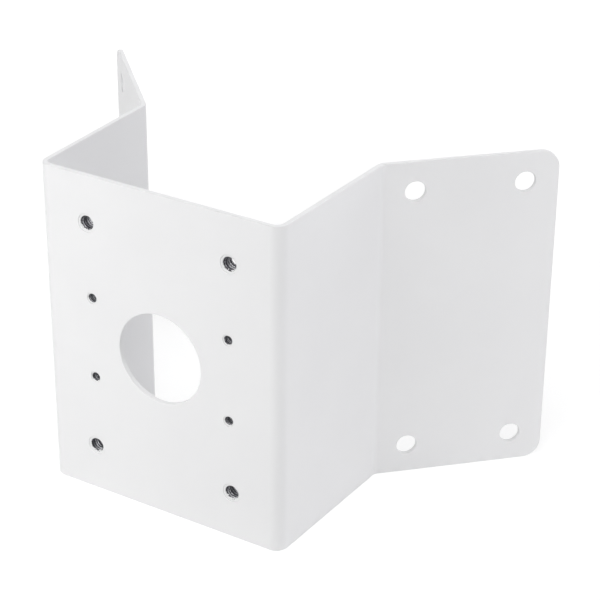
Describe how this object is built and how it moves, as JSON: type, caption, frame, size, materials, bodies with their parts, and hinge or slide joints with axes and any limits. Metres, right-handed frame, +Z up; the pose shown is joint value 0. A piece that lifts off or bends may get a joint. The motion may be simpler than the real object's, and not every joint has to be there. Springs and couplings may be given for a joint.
{
  "type": "corner mount adapter",
  "caption": "Folded steel bracket that sits astride an outside wall corner and offers a flat drilled face for a camera, its arm or a junction box.",
  "frame": {"origin": "centre of the cable hole, on the front plate's outer face", "axes": "+X along the front plate to the right as seen from the front, +Y from the front plate back towards the wall corner, +Z up; symmetric about the plane X = 0"},
  "size_m": [0.2824, 0.1597, 0.183],
  "materials": {
    "powder_coat": "white powder coat, satin, with a very fine orange peel",
    "nut_steel": "steel with a dark zinc finish, bare in the threads"
  },
  "bodies": {
    "root": {"folded_bracket": "powder_coat", "large_press_nuts": "nut_steel", "small_press_nuts": "nut_steel"}
  },
  "joints": []
}
